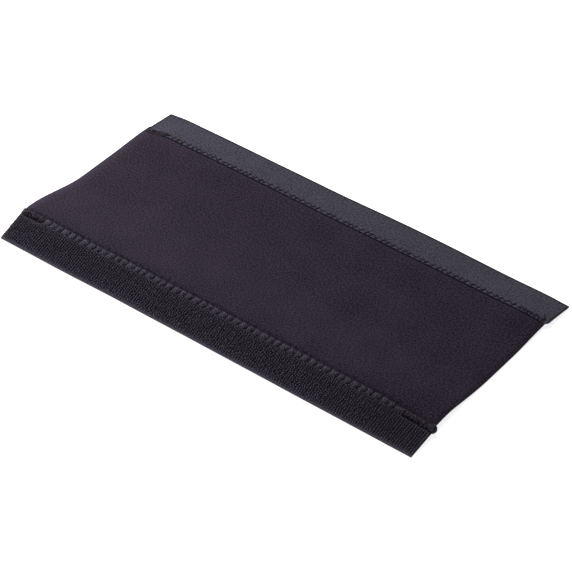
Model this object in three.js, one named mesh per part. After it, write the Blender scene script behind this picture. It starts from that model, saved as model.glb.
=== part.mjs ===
// Chainstay protector: a neoprene wrap with a hook tape sewn along one long edge
// and a loop tape along the other. It lies open on a flat surface.
// Millimetres, +Z up, X along the length, Y across the wrap, hook tape at -Y.
//
// Every piece is shaped flat, as it is cut and sewn, in three coordinates:
//   x, along the length, 0 at mid length;
//   y, across the cloth, 0 at the free edge of the hook tape;
//   z, above the plane on which the tapes are sewn.
// One function, layDown, then lets the sewn wrap settle on the ground.

import * as THREE from 'three';

// Neoprene panel
const panelLength = 250;
const neopreneWidth = 100;
const neopreneThickness = 2;
const pressedThickness = 1.3; // where a seam holds it
const pressedRise = 0.45; // how far the free neoprene swells above the seam's plane
const swellWidth = 2.5; // from the tape's edge to full thickness
const leftEndInset = 0.5; // the panel ends this far inside the hook tape
const rightEndInset = 1.7;
const seamDraw = 0.3; // further inset where a seam draws the panel in

// Tapes
const tapeWidth = 20;
const tapeOverlap = 4.5; // how far each tape lies over the neoprene
const webThickness = 0.6;
const selvedgeWidth = 1.9;
const sewnMargin = 4.1; // bare strip of the hook tape that takes the seam
const hookHeight = 1.1; // above the web
const hookRowPitch = 1.38;
const hookLean = 0.35; // place of the crest in its row, as a share of the pitch
const rowRootHeight = 0.12; // of the valleys between rows, above the web
const rowEndSlope = 0.35; // width over which the end of a row rises
const loopTapeInset = 1.6; // the loop tape's left end lies this far inside the hook tape's
const loopPileDepth = 0.7; // below the web, where the loop tape is free
const pileEaseWidth = 1.5; // from the neoprene's edge to full pile

// Seams
const threadWidth = 0.5;
const threadHeight = 0.42;
const hookSeamPitch = 4.15;
const hookSeamWidth = 2.7;
const loopSeamPitch = 3.33;
const loopSeamWidth = 2.3;
const seamEdgeDistance = 0.45; // from the thread's feet to the tape's inner edge
const tackPitch = 1.8; // the dense zigzag that locks both ends of a seam
const hookTackStart = 12.5;
const hookTackEnd = 17.5;
const loopTackStart = 12;
const loopTackEnd = 17;
const threadEndDistance = 0.8; // from the thread's end to the tape's end
const needleStepsPerStitch = 4; // facets of one zigzag of the thread on top
const bobbinStepsPerStitch = 2;
const seat = 0.15; // clearance between pieces that touch

// How the wrap settles: heights of the seams' plane above the ground
const hookCrestHeight = 7.5;
const hookCrestDrop = 2.6; // lost towards the right end
const hookCrestDropLength = 40;
const loopCrestHeight = 3.3;
const loopCrestDropLeft = 1.1;
const loopCrestDropRight = 0.4;
const loopCrestDropLength = 20;
const crestDistance = 2; // from a tape's inner edge to the crest beside it
const hookSlopeLength = 42; // from the hook crest down to the flat middle
const loopSlopeLength = 23;
const hookTapeFall = 2; // from the hook crest to the neoprene's edge; beyond it the tape is straight
const rightEndLift = 0.3;
const rightEndLiftLength = 25;
const farEdgeLift = 0.9;
const farEdgeLiftPlace = 38;
const farEdgeLiftReach = 60;

// How the wrap settles: its edges on the ground
const settledLoss = 1.6; // the wrap covers this much less ground than its flat width
const nearEdgeSwing = 0.65; // the hook tape's free edge lies further out at the left
const nearEdgeSwingStart = 45; // left of mid length
const nearEdgeSwingLength = 50;
const leftCornerDraw = 1.3; // the loop tape's corners are drawn in by the tacks
const rightCornerDraw = 0.6;
const cornerDrawLength = 18;

// Facets
const lengthStep = 12.5;
const flatStep = 12;
const slopeStep = 8;
const tapeStep = 4.6;
const seamStep = 2.1;
const leastStep = 0.3;
const integrationStep = 1;

// Places worked out from the sizes above
const halfLength = panelLength / 2;
const lengthSegments = Math.round(panelLength / lengthStep);
const segmentLength = panelLength / lengthSegments;
const neopreneStart = tapeWidth - tapeOverlap;
const neopreneEnd = neopreneStart + neopreneWidth;
const loopTapeStart = neopreneEnd - tapeOverlap;
const clothWidth = loopTapeStart + tapeWidth;
const hookCrest = tapeWidth + crestDistance;
const loopCrest = loopTapeStart - crestDistance;
const flatStart = hookCrest + hookSlopeLength;
const flatEnd = loopCrest - loopSlopeLength;
const hookFieldEnd = tapeWidth - sewnMargin;
const freeBottom = pressedRise - neopreneThickness;
const pressedTop = -seat;
const pressedBottom = pressedTop - pressedThickness;

const { clamp, lerp } = THREE.MathUtils;

function ease(t) {
  return THREE.MathUtils.smoothstep(t, 0, 1);
}

// Height and slope at distance x along a span that starts at height a and ends at height b.
function hermite(x, span, a, b, slopeA, slopeB) {
  const t = x / span;
  const height = a * (2 * t ** 3 - 3 * t ** 2 + 1) + b * (3 * t ** 2 - 2 * t ** 3)
    + span * (slopeA * (t ** 3 - 2 * t ** 2 + t) + slopeB * (t ** 3 - t ** 2));
  const slope = (6 * (b - a) * (t - t ** 2)) / span
    + slopeA * (3 * t ** 2 - 4 * t + 1) + slopeB * (3 * t ** 2 - 2 * t);
  return { height, slope };
}

// Height of the seams' plane and its slope across the cloth.
function settledHeight(x, y) {
  const rightEnd = ease((x - halfLength + hookCrestDropLength) / hookCrestDropLength);
  const hookTop = hookCrestHeight - hookCrestDrop * rightEnd;
  const loopTop = loopCrestHeight
    - loopCrestDropLeft * ease((-halfLength + loopCrestDropLength - x) / loopCrestDropLength)
    - loopCrestDropRight * ease((x - halfLength + loopCrestDropLength) / loopCrestDropLength);
  const flat = -freeBottom
    + rightEndLift * ease((x - halfLength + rightEndLiftLength) / rightEndLiftLength);
  const farEdge = loopPileDepth
    + farEdgeLift * ease(1 - Math.abs(x - farEdgeLiftPlace) / farEdgeLiftReach);
  const tapeRise = hookTop - hookTapeFall;
  const tapeSlope = tapeRise / neopreneStart;
  if (y < neopreneStart) {
    return { height: tapeSlope * y, slope: tapeSlope };
  }
  if (y < hookCrest) {
    const span = hookCrest - neopreneStart;
    return hermite(y - neopreneStart, span, tapeRise, hookTop, tapeSlope, 0);
  }
  if (y < flatStart) {
    return hermite(y - hookCrest, hookSlopeLength, hookTop, flat, 0, 0);
  }
  if (y < flatEnd) {
    return { height: flat, slope: 0 };
  }
  if (y < loopCrest) {
    return hermite(y - flatEnd, loopSlopeLength, flat, loopTop, 0, 0);
  }
  const span = clothWidth - loopCrest;
  return hermite(y - loopCrest, span, loopTop, farEdge, 0, (farEdge - loopTop) / span);
}

// Distance over the ground from the hook tape's free edge to distance y across the cloth.
function groundDistance(x, y) {
  const steps = Math.ceil(y / integrationStep);
  let distance = 0;
  for (let i = 0; i < steps; i += 1) {
    const { slope } = settledHeight(x, ((i + 0.5) * y) / steps);
    distance += (Math.sqrt(1 - slope ** 2) * y) / steps;
  }
  return distance;
}

const settledSpan = clothWidth - settledLoss;

// Places of the two free edges on the ground.
function nearEdge(x) {
  const swing = nearEdgeSwing * ease((-nearEdgeSwingStart - x) / nearEdgeSwingLength);
  return (nearEdgeSwing - settledSpan) / 2 - swing;
}

function farEdge(x) {
  const draw = (corner, distance) => corner * (1 - ease(distance / cornerDrawLength)) ** 2;
  return (nearEdgeSwing + settledSpan) / 2
    - draw(leftCornerDraw, halfLength + x) - draw(rightCornerDraw, halfLength - x);
}

// Where a point of the flat cloth comes to lie. The cloth gives a little between its edges.
function settledPoint(x, y, z) {
  const { height, slope } = settledHeight(x, y);
  const give = (farEdge(x) - nearEdge(x)) / groundDistance(x, clothWidth);
  const place = nearEdge(x) + give * groundDistance(x, y);
  return new THREE.Vector3(x, place - z * slope, height + z * Math.sqrt(1 - slope ** 2));
}

const crossLines = Array.from({ length: lengthSegments + 1 }, (_, i) => {
  return i * segmentLength - halfLength;
});

// Moves a flat geometry onto the settled surface, which is straight along the length
// between one cross line and the next.
function layDown(geometry) {
  const position = geometry.getAttribute('position');
  for (let i = 0; i < position.count; i += 1) {
    const flat = new THREE.Vector3().fromBufferAttribute(position, i);
    const line = clamp(Math.floor((flat.x + halfLength) / segmentLength), 0, lengthSegments - 1);
    const before = settledPoint(crossLines[line], flat.y, flat.z);
    const after = settledPoint(crossLines[line + 1], flat.y, flat.z);
    const point = before.lerp(after, (flat.x - crossLines[line]) / segmentLength);
    position.setXYZ(i, point.x, point.y, point.z);
  }
  return geometry;
}

// Positions from start to end, evenly spaced by about the given step, without the start.
function evenly(start, end, step) {
  const count = Math.max(1, Math.round((end - start) / step));
  return Array.from({ length: count }, (_, i) => start + ((end - start) * (i + 1)) / count);
}

// Lines along the cloth that all sheets share, so that facets that lie on each other are parallel.
const sharedLines = [
  0,
  ...evenly(0, selvedgeWidth, selvedgeWidth),
  ...evenly(selvedgeWidth, hookFieldEnd, tapeStep),
  ...evenly(hookFieldEnd, tapeWidth, seamStep),
  ...evenly(tapeWidth, tapeWidth + swellWidth, swellWidth / 2),
  ...evenly(tapeWidth + swellWidth, flatStart, slopeStep),
  ...evenly(flatStart, flatEnd, flatStep),
  ...evenly(flatEnd, loopTapeStart - swellWidth, slopeStep),
  ...evenly(loopTapeStart - swellWidth, loopTapeStart, swellWidth / 2),
  ...evenly(loopTapeStart, neopreneEnd, seamStep),
  ...evenly(neopreneEnd, neopreneEnd + pileEaseWidth, pileEaseWidth),
  ...evenly(neopreneEnd + pileEaseWidth, clothWidth, tapeStep),
];

// The shared lines between two distances across the cloth, and those two themselves.
function linesBetween(start, end) {
  const inner = sharedLines.filter((y) => y > start + leastStep && y < end - leastStep);
  return [start, ...inner, end];
}

// Points along the cloth at one distance across it, where it meets the cross lines.
function plainLine(y, z, left = -halfLength, right = halfLength) {
  return crossLines.map((x) => new THREE.Vector3(clamp(x, left, right), y, z));
}

// Triangles between two rows of points, both in order of the same coordinate.
function bridge(rowA, rowB, axis) {
  const triangles = [];
  let a = 0;
  let b = 0;
  while (a < rowA.length - 1 || b < rowB.length - 1) {
    const nextA = rowA[a + 1];
    const nextB = rowB[b + 1];
    if (!nextB || (nextA && nextA[axis] <= nextB[axis])) {
      triangles.push(rowA[a], nextA, rowB[b]);
      a += 1;
    } else {
      triangles.push(rowA[a], nextB, rowB[b]);
      b += 1;
    }
  }
  return triangles;
}

// A closed skin over lines that run along the cloth, given from the hook side to the loop side.
function skin(topLines, bottomLines) {
  const triangles = [];
  for (let i = 1; i < topLines.length; i += 1) {
    triangles.push(...bridge(topLines[i - 1], topLines[i], 'x'));
  }
  for (let i = 1; i < bottomLines.length; i += 1) {
    triangles.push(...bridge(bottomLines[i], bottomLines[i - 1], 'x'));
  }
  triangles.push(...bridge(bottomLines.at(0), topLines.at(0), 'x'));
  triangles.push(...bridge(topLines.at(-1), bottomLines.at(-1), 'x'));
  const ends = (lines, index) => lines.map((line) => line.at(index));
  triangles.push(...bridge(ends(topLines, 0), ends(bottomLines, 0), 'y'));
  triangles.push(...bridge(ends(bottomLines, -1), ends(topLines, -1), 'y'));
  const geometry = layDown(new THREE.BufferGeometry().setFromPoints(triangles));
  geometry.computeVertexNormals();
  return geometry;
}

// The panel is full thickness between the seams and pressed thin under the tapes.
function neoprenePanel() {
  const swell = (y) => ease(Math.min(y - tapeWidth, loopTapeStart - y) / swellWidth);
  const topAt = (y) => lerp(pressedTop, pressedRise, swell(y));
  const bottomAt = (y) => lerp(pressedBottom, freeBottom, swell(y));
  const middle = (neopreneStart + neopreneEnd) / 2;
  const drawAt = (y) => seamDraw * ((y - middle) / (neopreneWidth / 2)) ** 2;
  const leftAt = (y) => leftEndInset + drawAt(y) - halfLength;
  const rightAt = (y) => halfLength - rightEndInset - drawAt(y);
  const across = linesBetween(neopreneStart, neopreneEnd);
  const topLines = across.map((y) => plainLine(y, topAt(y), leftAt(y), rightAt(y)));
  const bottomLines = across.map((y) => plainLine(y, bottomAt(y), leftAt(y), rightAt(y)));
  return skin(topLines, bottomLines);
}

const rowCount = Math.floor(panelLength / hookRowPitch);

// The foot of all rows of hooks on one side, with a point between each two rows.
function rowFeetLine(y) {
  return Array.from({ length: rowCount + 1 }, (_, row) => {
    return new THREE.Vector3((row / rowCount) * panelLength - halfLength, y, webThickness);
  });
}

// A line over all rows of hooks, which climbs to a crest in each row.
function rowCrestsLine(y) {
  const points = rowFeetLine(y);
  const pitch = panelLength / rowCount;
  return points.flatMap((foot, row) => {
    const valley = new THREE.Vector3(foot.x, y, webThickness + rowRootHeight);
    const crest = new THREE.Vector3(foot.x + hookLean * pitch, y, webThickness + hookHeight);
    return row < rowCount ? [valley, crest] : [valley];
  });
}

// A woven web with rows of hooks standing across it, between the selvedge and the seam.
function hookTape() {
  const firstCrests = selvedgeWidth + rowEndSlope;
  const lastCrests = hookFieldEnd - rowEndSlope;
  const topLines = [
    plainLine(0, webThickness),
    rowFeetLine(selvedgeWidth),
    rowCrestsLine(firstCrests),
    ...evenly(firstCrests, lastCrests, tapeStep).map(rowCrestsLine),
    rowFeetLine(hookFieldEnd),
    ...evenly(hookFieldEnd, tapeWidth, seamStep).map((y) => plainLine(y, webThickness)),
  ];
  const bottomLines = linesBetween(0, tapeWidth).map((y) => plainLine(y, 0));
  return skin(topLines, bottomLines);
}

// A woven web whose pile of loops faces down and swells where the neoprene ends.
function loopTape() {
  const bottomAt = (y) => -loopPileDepth * ease((y - neopreneEnd) / pileEaseWidth);
  const across = linesBetween(loopTapeStart, clothWidth);
  const left = loopTapeInset - halfLength;
  const topLines = across.map((y) => plainLine(y, webThickness, left));
  const bottomLines = across.map((y) => plainLine(y, bottomAt(y), left));
  return skin(topLines, bottomLines);
}

// The path of one thread: dense zigzags at both ends, open ones between.
class ZigzagPath extends THREE.Curve {
  constructor({ pitch, width, centre, height, left, tackStart, tackEnd }) {
    super();
    this.start = left + threadEndDistance;
    const length = halfLength - threadEndDistance - this.start;
    this.lengths = [tackStart, length - tackStart - tackEnd, tackEnd];
    this.periods = [tackPitch, pitch, tackPitch]
      .map((period, i) => Math.round(this.lengths[i] / period));
    this.width = width;
    this.centre = centre;
    this.height = height;
    this.total = this.periods[0] + this.periods[1] + this.periods[2];
  }

  getPoint(t, target = new THREE.Vector3()) {
    let phase = t * this.total;
    let x = this.start;
    let part = 0;
    while (part < 2 && phase > this.periods[part]) {
      phase -= this.periods[part];
      x += this.lengths[part];
      part += 1;
    }
    x += (phase / this.periods[part]) * this.lengths[part];
    const y = this.centre + (this.width / 2) * Math.cos(2 * Math.PI * t * this.total);
    return target.set(x, y, this.height);
  }

  getPointAt(t, target) {
    return this.getPoint(t, target);
  }

  getTangentAt(t, target) {
    return this.getTangent(t, target);
  }
}

// A thread of three-sided section, its flat side towards the cloth.
function seamThread(path, side, stepsPerPeriod) {
  const section = new THREE.Shape();
  section.moveTo(0, -threadWidth / 2);
  section.lineTo(0, threadWidth / 2);
  section.lineTo(-side * threadHeight, 0);
  const thread = new THREE.ExtrudeGeometry(section, {
    steps: path.total * stepsPerPeriod,
    extrudePath: path,
  });
  return layDown(thread);
}

const hookSeam = {
  pitch: hookSeamPitch,
  width: hookSeamWidth,
  centre: tapeWidth - seamEdgeDistance - hookSeamWidth / 2,
  left: -halfLength,
  tackStart: hookTackStart,
  tackEnd: hookTackEnd,
};

const loopSeam = {
  pitch: loopSeamPitch,
  width: loopSeamWidth,
  centre: loopTapeStart + seamEdgeDistance + loopSeamWidth / 2,
  left: loopTapeInset - halfLength,
  tackStart: loopTackStart,
  tackEnd: loopTackEnd,
};

// The needle thread lies on the tape, the bobbin thread under the neoprene.
function needleThread(seam) {
  const path = new ZigzagPath({ ...seam, height: webThickness + seat });
  return seamThread(path, 1, needleStepsPerStitch);
}

function bobbinThread(seam) {
  const path = new ZigzagPath({ ...seam, height: pressedBottom - seat });
  return seamThread(path, -1, bobbinStepsPerStitch);
}

function cloth(color, roughness) {
  return new THREE.MeshStandardMaterial({ color, roughness, metalness: 0 });
}

const protector = new THREE.Group();

function addPiece(name, geometry, material) {
  const piece = new THREE.Mesh(geometry, material);
  piece.name = name;
  protector.add(piece);
}

addPiece('neoprene_panel', neoprenePanel(), cloth(0x322d38, 0.85));
addPiece('hook_tape', hookTape(), cloth(0x26242c, 0.55));
addPiece('loop_tape', loopTape(), cloth(0x403e48, 0.75));
addPiece('hook_seam_needle_thread', needleThread(hookSeam), cloth(0x1b191f, 0.5));
addPiece('hook_seam_bobbin_thread', bobbinThread(hookSeam), cloth(0x1b191f, 0.5));
addPiece('loop_seam_needle_thread', needleThread(loopSeam), cloth(0x1b191f, 0.5));
addPiece('loop_seam_bobbin_thread', bobbinThread(loopSeam), cloth(0x1b191f, 0.5));

export default protector;
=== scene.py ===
import math
import random

import bmesh
import bpy
import numpy as np
from mathutils import Matrix, Vector
from mathutils.kdtree import KDTree


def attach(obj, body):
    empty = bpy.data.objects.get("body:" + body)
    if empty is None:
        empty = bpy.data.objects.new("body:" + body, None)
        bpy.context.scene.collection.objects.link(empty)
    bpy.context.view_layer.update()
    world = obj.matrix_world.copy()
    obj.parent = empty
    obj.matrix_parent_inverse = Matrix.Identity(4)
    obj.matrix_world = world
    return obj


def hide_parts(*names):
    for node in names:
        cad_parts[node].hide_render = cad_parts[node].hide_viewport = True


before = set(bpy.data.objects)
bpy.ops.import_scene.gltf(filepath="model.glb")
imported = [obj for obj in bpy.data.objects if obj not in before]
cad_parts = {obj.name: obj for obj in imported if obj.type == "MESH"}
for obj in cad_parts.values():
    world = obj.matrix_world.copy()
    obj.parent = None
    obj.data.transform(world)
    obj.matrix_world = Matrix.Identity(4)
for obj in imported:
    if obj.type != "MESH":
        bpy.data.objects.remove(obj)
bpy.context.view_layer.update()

MM = 0.001

# Sizes of the chainstay protector, a neoprene wrap that lies open, in millimetres.
# Flat, x runs along it, y across it from the free edge of the hook tape, and z up from
# the plane where the tapes are sewn on.
PANEL_LENGTH = 250.0
HALF_LENGTH = PANEL_LENGTH / 2
NEOPRENE_WIDTH = 100.0
TAPE_WIDTH = 20.0
TAPE_OVERLAP = 4.5
NEOPRENE_START = TAPE_WIDTH - TAPE_OVERLAP
NEOPRENE_END = NEOPRENE_START + NEOPRENE_WIDTH
LOOP_TAPE_START = NEOPRENE_END - TAPE_OVERLAP
CLOTH_WIDTH = LOOP_TAPE_START + TAPE_WIDTH

# The neoprene is pressed thin under the seams and swells to full thickness beside them.
NEOPRENE_THICKNESS = 2.0
PRESSED_TOP, PRESSED_BOTTOM = -0.15, -1.45
FREE_TOP = 0.45
FREE_BOTTOM = FREE_TOP - NEOPRENE_THICKNESS
SWELL_WIDTH = 2.5
RIGHT_END_INSET = 1.7
SEAM_DRAW = 0.3
# Its near right corner was cut a little long.
CORNER_EXCESS, CORNER_EXCESS_WIDTH = 1.1, 22.0
# Die-cutting rolls its top face over: by how much, and how far in from the end.
LEFT_ROLL, LEFT_ROLL_LENGTH = 0.5, 7.0
RIGHT_ROLL, RIGHT_ROLL_LENGTH = 0.3, 3.0
RIGHT_FALL, RIGHT_FALL_LENGTH = 0.35, 18.0
# How far the needle holes near a tape's edge keep its swell back.
HOLE_PULL = 0.22

# How far the cut edges are rounded.
CLOTH_ARRIS, TAPE_ARRIS = 0.14, 0.12
WEB_THICKNESS = 0.6
SELVEDGE_WIDTH = 1.9
HOOK_FIELD_END = 15.9
HOOK_HEIGHT = 1.1
FILAMENT_RADIUS = 0.17
HOOKS_PER_ROW = 13
ROW_VARIANTS = 12
# Handling has ruffled the rows, except those near the ends.
RUFFLED_FROM, RUFFLED_TO = -65, 100
HOOK_ROW_PITCH = 1.38
ROW_COUNT = int(PANEL_LENGTH // HOOK_ROW_PITCH)
ROW_SPACING = PANEL_LENGTH / ROW_COUNT
# The ribs are highest half a row from the left end, as the first row of hooks is.
ROW_PHASE = math.tau * (HALF_LENGTH / ROW_SPACING % 1)
LOOP_TAPE_INSET = 1.6
LOOP_PILE_DEPTH = 0.7
LOOP_SPACING = 1.05
# How far across the loop tape its inner edge's straying is felt.
STRAY_WIDTH = 8.0
# The loop tape's right inner corner is trimmed round.
CORNER_TRIM, CORNER_TRIM_WIDTH, CORNER_TRIM_LENGTH = 1.4, 2.5, 6.0

THREAD_WIDTH = 0.5
THREAD_STEP = 0.24
TWIST_LENGTH = 1.3
HOOK_SEAM_CENTRE, HOOK_SEAM_WIDTH, HOOK_SEAM_PITCH = 18.2, 2.7, 4.15
LOOP_SEAM_CENTRE, LOOP_SEAM_WIDTH, LOOP_SEAM_PITCH = 112.6, 2.3, 3.33
TACK_PITCH = 1.8
THREAD_END_DISTANCE = 0.8
# The share of each zigzag in which the thread crosses outward.
QUICK_LEG = 0.3

# How the cloth lies: the heights of its seams' plane, and where they change.
HOOK_CREST, LOOP_CREST = 22.0, 109.0
FLAT_START, FLAT_END = 64.0, 86.0
HOOK_CREST_HEIGHT, HOOK_CREST_DROP, HOOK_CREST_DROP_LENGTH = 7.5, 2.6, 40.0
LOOP_CREST_HEIGHT, LOOP_CREST_DROP_LENGTH = 3.3, 20.0
LOOP_CREST_DROP_LEFT, LOOP_CREST_DROP_RIGHT = 1.1, 0.4
HOOK_TAPE_FALL = 2.0
RIGHT_END_LIFT, RIGHT_END_LIFT_LENGTH = 0.3, 25.0
FAR_EDGE_LIFT, FAR_EDGE_LIFT_PLACE, FAR_EDGE_LIFT_REACH = 0.9, 38.0, 60.0

# Where its two free edges lie on the ground.
SETTLED_SPAN = CLOTH_WIDTH - 1.6
NEAR_EDGE_SWING, NEAR_EDGE_SWING_START, NEAR_EDGE_SWING_LENGTH = 0.65, 45.0, 50.0
LEFT_CORNER_DRAW, RIGHT_CORNER_DRAW, CORNER_DRAW_LENGTH = 1.3, 0.6, 18.0

# All that varies by chance is drawn from this one seed.
uneven = random.Random(27)


def ease(t):
    t = np.clip(t, 0.0, 1.0)
    return t * t * (3 - 2 * t)


def hermite(y, start, end, a, b, slope_a, slope_b):
    """Height and slope at y on a curve from height a at its start to b at its end."""
    span = end - start
    t = (y - start) / span
    height = (
        a * (2 * t**3 - 3 * t**2 + 1)
        + b * (3 * t**2 - 2 * t**3)
        + span * (slope_a * (t**3 - 2 * t**2 + t) + slope_b * (t**3 - t**2))
    )
    slope = (
        6 * (b - a) * (t - t**2) / span
        + slope_a * (3 * t**2 - 4 * t + 1)
        + slope_b * (3 * t**2 - 2 * t)
    )
    return height, slope


def settled_height(x, y):
    """Height of the seams' plane, and its slope across the cloth, at flat x and y."""
    to_right = x - HALF_LENGTH
    to_left = -HALF_LENGTH - x
    hook_top = HOOK_CREST_HEIGHT - HOOK_CREST_DROP * ease(
        to_right / HOOK_CREST_DROP_LENGTH + 1
    )
    loop_top = (
        LOOP_CREST_HEIGHT
        - LOOP_CREST_DROP_LEFT * ease(to_left / LOOP_CREST_DROP_LENGTH + 1)
        - LOOP_CREST_DROP_RIGHT * ease(to_right / LOOP_CREST_DROP_LENGTH + 1)
    )
    flat = -FREE_BOTTOM + RIGHT_END_LIFT * ease(to_right / RIGHT_END_LIFT_LENGTH + 1)
    far_edge = LOOP_PILE_DEPTH + FAR_EDGE_LIFT * ease(
        1 - abs(x - FAR_EDGE_LIFT_PLACE) / FAR_EDGE_LIFT_REACH
    )
    # From its free edge to the neoprene the hook tape is straight.
    tape_rise = hook_top - HOOK_TAPE_FALL
    tape_slope = tape_rise / NEOPRENE_START
    over_seam = hermite(
        y, NEOPRENE_START, HOOK_CREST, tape_rise, hook_top, tape_slope, 0
    )
    bands = [
        (NEOPRENE_START, (tape_slope * y, tape_slope + 0 * y)),
        (HOOK_CREST, over_seam),
        (FLAT_START, hermite(y, HOOK_CREST, FLAT_START, hook_top, flat, 0, 0)),
        (FLAT_END, (flat + 0 * y, 0 * (x + y))),
        (LOOP_CREST, hermite(y, FLAT_END, LOOP_CREST, flat, loop_top, 0, 0)),
    ]
    far_slope = (far_edge - loop_top) / (CLOTH_WIDTH - LOOP_CREST)
    last = hermite(y, LOOP_CREST, CLOTH_WIDTH, loop_top, far_edge, 0, far_slope)
    y_all = y + 0 * x
    below = [y_all < end for end, _ in bands]
    return tuple(
        np.select(below, [values[k] + 0 * y_all for _, values in bands], last[k])
        for k in (0, 1)
    )


def free_edges(x):
    """Places of the hook tape's and the loop tape's free edges on the ground."""
    swung = ease((-NEAR_EDGE_SWING_START - x) / NEAR_EDGE_SWING_LENGTH)
    near = (NEAR_EDGE_SWING - SETTLED_SPAN) / 2 - NEAR_EDGE_SWING * swung
    draws = (
        LEFT_CORNER_DRAW * (1 - ease((HALF_LENGTH + x) / CORNER_DRAW_LENGTH)) ** 2
        + RIGHT_CORNER_DRAW * (1 - ease((HALF_LENGTH - x) / CORNER_DRAW_LENGTH)) ** 2
    )
    return near, (NEAR_EDGE_SWING + SETTLED_SPAN) / 2 - draws


class LaidCloth:
    """Lays flat points down as the cloth lies, from fine tables of how it does."""

    along = np.linspace(-HALF_LENGTH, HALF_LENGTH, 101)
    across = np.linspace(0, CLOTH_WIDTH, 525)

    def __init__(self):
        height, slope = settled_height(self.along[:, None], self.across[None, :])
        run = np.sqrt(1 - slope**2)
        steps = np.diff(self.across) * (run[:, 1:] + run[:, :-1]) / 2
        ground = np.hstack([np.zeros((len(self.along), 1)), np.cumsum(steps, axis=1)])
        near, far = free_edges(self.along)
        give = (far - near) / ground[:, -1]
        self.tables = height, slope, near[:, None] + ground * give[:, None]

    def look_up(self, x, y):
        from_left = np.clip(x, -HALF_LENGTH, HALF_LENGTH) + HALF_LENGTH
        i = from_left / np.diff(self.along)[0]
        j = np.clip(y, 0, CLOTH_WIDTH) / np.diff(self.across)[0]
        i0 = np.minimum(i.astype(int), len(self.along) - 2)
        j0 = np.minimum(j.astype(int), len(self.across) - 2)
        u, v = i - i0, j - j0
        return [
            (t[i0, j0] * (1 - u) + t[i0 + 1, j0] * u) * (1 - v)
            + (t[i0, j0 + 1] * (1 - u) + t[i0 + 1, j0 + 1] * u) * v
            for t in self.tables
        ]

    def lay(self, points):
        """Flat points in millimetres, one to a row, to settled points in metres."""
        x, y, z = np.asarray(points, float).T
        height, slope, place = self.look_up(x, y)
        beyond = y - np.clip(y, 0, CLOTH_WIDTH)
        run = np.sqrt(1 - slope**2)
        laid = np.stack(
            [
                x,
                place + beyond * run - z * slope,
                height + beyond * slope + z * run + self.unevenness(x, y),
            ],
            axis=1,
        )
        laid[:, 2] = np.maximum(laid[:, 2], 0)
        return laid * MM

    def unevenness(self, x, y):
        """Limp cloth never lies quite true: it rises by up to a quarter millimetre."""
        wave = (
            np.sin(x / 17 + y / 29 + 1.1)
            + np.sin(x / 31 - y / 13 + 0.4)
            + 0.6 * np.sin(x / 7.5 + y / 41 + 2.7)
        )
        # The waves never sum to less than -2.6, so nothing sinks below its place.
        return 0.045 * (wave + 2.6)


cloth = LaidCloth()


def set_camera():
    """The photograph's view: level, from 38 degrees to the right and 41 degrees up."""
    azimuth, elevation = math.radians(38.115), math.radians(40.877)
    target, distance = Vector((8.03, -6.19, 0)) * MM, 1.237
    away = Vector(
        (
            math.sin(azimuth) * math.cos(elevation),
            -math.cos(azimuth) * math.cos(elevation),
            math.sin(elevation),
        )
    )
    data = bpy.data.cameras.new("studio_camera")
    data.lens, data.sensor_width = 161.0, 36.0
    data.clip_start, data.clip_end = 0.01, 20.0
    camera = bpy.data.objects.new("studio_camera", data)
    bpy.context.scene.collection.objects.link(camera)
    camera.location = target + away * distance
    camera.rotation_mode = "QUATERNION"
    camera.rotation_quaternion = away.to_track_quat("Z", "Y")
    bpy.context.scene.camera = camera


def add_softbox(name, place, size, power, aim=(0, 0, 0)):
    data = bpy.data.lights.new(name, "AREA")
    data.size, data.energy = size, power
    light = bpy.data.objects.new(name, data)
    bpy.context.scene.collection.objects.link(light)
    light.location = place
    light.rotation_mode = "QUATERNION"
    light.rotation_quaternion = (Vector(place) - Vector(aim)).to_track_quat("Z", "Y")
    # The photograph's light is a shade violet.
    data.color = (0.99, 0.97, 1.0)


def linear(colour):
    """An sRGB hex colour as linear red, green, blue and alpha."""
    parts = [int(colour[i : i + 2], 16) / 255 for i in (1, 3, 5)]
    parts = [p / 12.92 if p <= 0.04045 else ((p + 0.055) / 1.055) ** 2.4 for p in parts]
    return (*parts, 1.0)


def add(tree, kind, inputs=None, stops=(), **settings):
    """Adds a node, sets or links its inputs, and gives the stops of a colour ramp."""
    made = tree.nodes.new("ShaderNode" + kind)
    for name, value in settings.items():
        setattr(made, name, value)
    for socket, value in (inputs or {}).items():
        if isinstance(value, bpy.types.NodeSocket):
            tree.links.new(value, made.inputs[socket])
        else:
            made.inputs[socket].default_value = value
    for number, (place, colour) in enumerate(stops):
        ramp = made.color_ramp.elements
        stop = ramp[number] if number < len(ramp) else ramp.new(place)
        stop.position, stop.color = place, linear(colour)
    return made


def new_finish(name, **constants):
    """A material, with its shader's own numbers set on their sockets."""
    finish = bpy.data.materials.new(name)
    finish.use_nodes = True
    shader = finish.node_tree.nodes["Principled BSDF"]
    for socket, value in constants.items():
        shader.inputs[socket.replace("_", " ")].default_value = value
    return finish, finish.node_tree, shader


def repeats(millimetres):
    """Scale of a wave texture whose bands lie this far apart: at scale 1 its wave
    turns by 20 radians a metre."""
    return math.tau / 20 / (millimetres * MM)


def grains(millimetres):
    """Scale of a noise or cell texture whose grains are this far across."""
    return 1 / (millimetres * MM)


def mixed(tree, *parts):
    """Adds several patterns, each times its share."""
    total = None
    for pattern, share in parts:
        part = add(tree, "Math", {0: pattern, 1: share}, operation="MULTIPLY")
        if total is not None:
            both = {0: total.outputs[0], 1: part.outputs[0]}
            part = add(tree, "Math", both, operation="ADD")
        total = part
    return total.outputs[0]


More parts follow.
